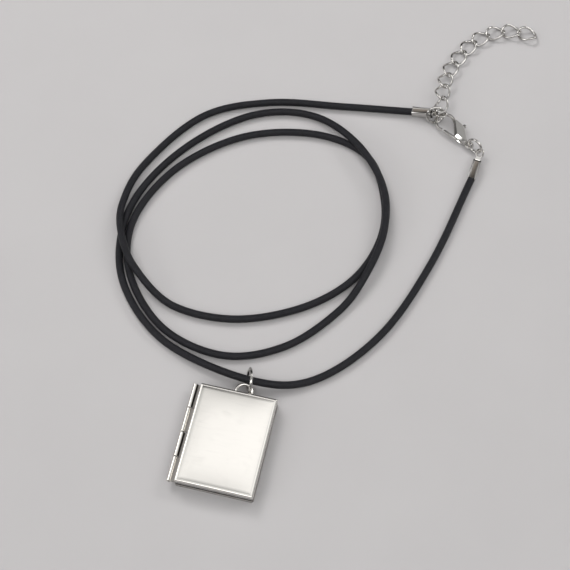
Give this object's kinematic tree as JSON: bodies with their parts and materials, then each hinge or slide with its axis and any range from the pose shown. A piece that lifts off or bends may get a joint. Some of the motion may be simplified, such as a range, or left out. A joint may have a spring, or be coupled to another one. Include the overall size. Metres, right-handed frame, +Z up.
{
  "type": "locket necklace",
  "caption": "Plain rectangular locket with a side hinge, hung by a ring on a long waxed cord with crimped ends, a lobster clasp and an extender chain.",
  "frame": {"origin": "centre of the locket's flat back, on the surface that the necklace lies on", "axes": "+X from the hinge to the locket's free side, +Y from the locket to its ring and the clasp, +Z up from the surface"},
  "size_m": [0.1035, 0.1574, 0.0068],
  "materials": {
    "locket_silver": "polished",
    "finding_silver": "polished",
    "waxed_cord": "waxed"
  },
  "bodies": {
    "locket": {"locket_back": "locket_silver", "hinge_pin": "locket_silver", "bail_ring": "finding_silver", "cord": "waxed_cord", "cord_end_a": "finding_silver", "cord_end_b": "finding_silver", "jump_ring_a": "finding_silver", "jump_ring_b": "finding_silver", "clasp_body": "finding_silver", "clasp_rivet": "finding_silver", "chain_link_01": "finding_silver", "chain_link_02": "finding_silver", "chain_link_03": "finding_silver", "chain_link_04": "finding_silver", "chain_link_05": "finding_silver", "chain_link_06": "finding_silver", "chain_link_07": "finding_silver", "chain_link_08": "finding_silver", "chain_link_09": "finding_silver", "chain_link_10": "finding_silver"},
    "cover": {"locket_cover": "locket_silver"},
    "lever": {"clasp_lever": "finding_silver"}
  },
  "joints": [
    {"name": "cover_hinge", "type": "hinge", "parent": "locket", "child": "cover", "pos_m": [-0.0117, 0, 0.0023], "axis": [0, -1, 0], "range_deg": [0, 170]},
    {"name": "lever_hinge", "type": "hinge", "parent": "locket", "child": "lever", "pos_m": [0.04078, 0.10403, 0.00145], "axis": [0, 0, -1], "range_deg": [0, 26], "stiffness_Nm_per_rad": 0.001, "springref_deg": -17.19}
  ]
}
